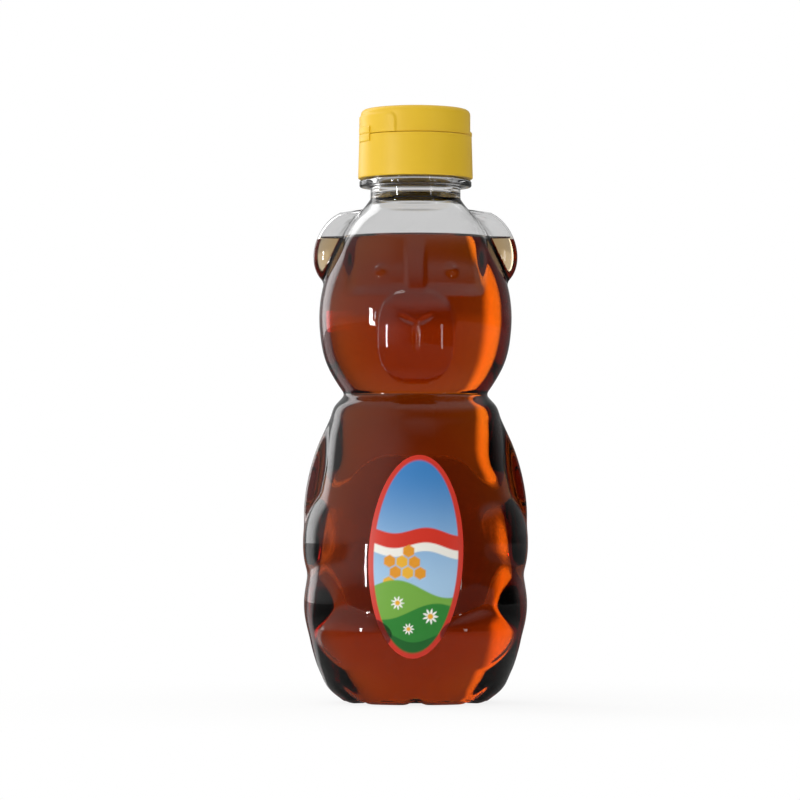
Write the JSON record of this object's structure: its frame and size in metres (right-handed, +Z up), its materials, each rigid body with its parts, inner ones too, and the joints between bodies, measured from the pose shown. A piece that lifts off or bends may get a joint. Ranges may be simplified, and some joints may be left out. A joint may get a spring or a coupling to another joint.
{
  "type": "honey bear bottle",
  "caption": "Clear bear-shaped bottle filled with amber syrup, with ears, arms and feet in relief, an oval belly sticker and a yellow flip-top screw cap.",
  "frame": {"origin": "on the standing surface, at the middle of the part's box, which is on the neck's axis", "axes": "+Z up along the neck's axis, the bear faces -Y, +X to the right as seen from the front"},
  "size_m": [0.0644, 0.055, 0.1719],
  "materials": {
    "clear_pet": "gloss",
    "amber_syrup": "gloss",
    "printed_film": "satin",
    "foam_liner": "matte",
    "yellow_cap": "satin"
  },
  "bodies": {
    "bottle": {"bottle_shell": "clear_pet", "syrup_fill": "amber_syrup", "front_label": "printed_film", "back_label": "printed_film"},
    "washer": {"seal_washer": "foam_liner"},
    "cap": {"cap_base": "yellow_cap", "hinge_film": "yellow_cap"},
    "lid": {"flip_lid": "yellow_cap", "hinge_lid_leaf": "yellow_cap"}
  },
  "joints": [
    {"name": "cap_lift", "type": "slide", "parent": "bottle", "child": "washer", "axis": [0, 0, 1], "range_m": [0, 0.0127]},
    {"name": "cap_turn", "type": "hinge", "parent": "washer", "child": "cap", "pos_m": [0, 0, 0.157], "axis": [0, 0, 1], "range_deg": [0, 1080]},
    {"name": "lid_flip", "type": "hinge", "parent": "cap", "child": "lid", "pos_m": [-0.01516, -0.00675, 0.16336], "axis": [0.4067, -0.9135, 0], "range_deg": [0, 150]}
  ],
  "couplings": [
    {"joint": "cap_lift", "follows": "cap_turn", "m_per_rad": 0.00066845}
  ]
}
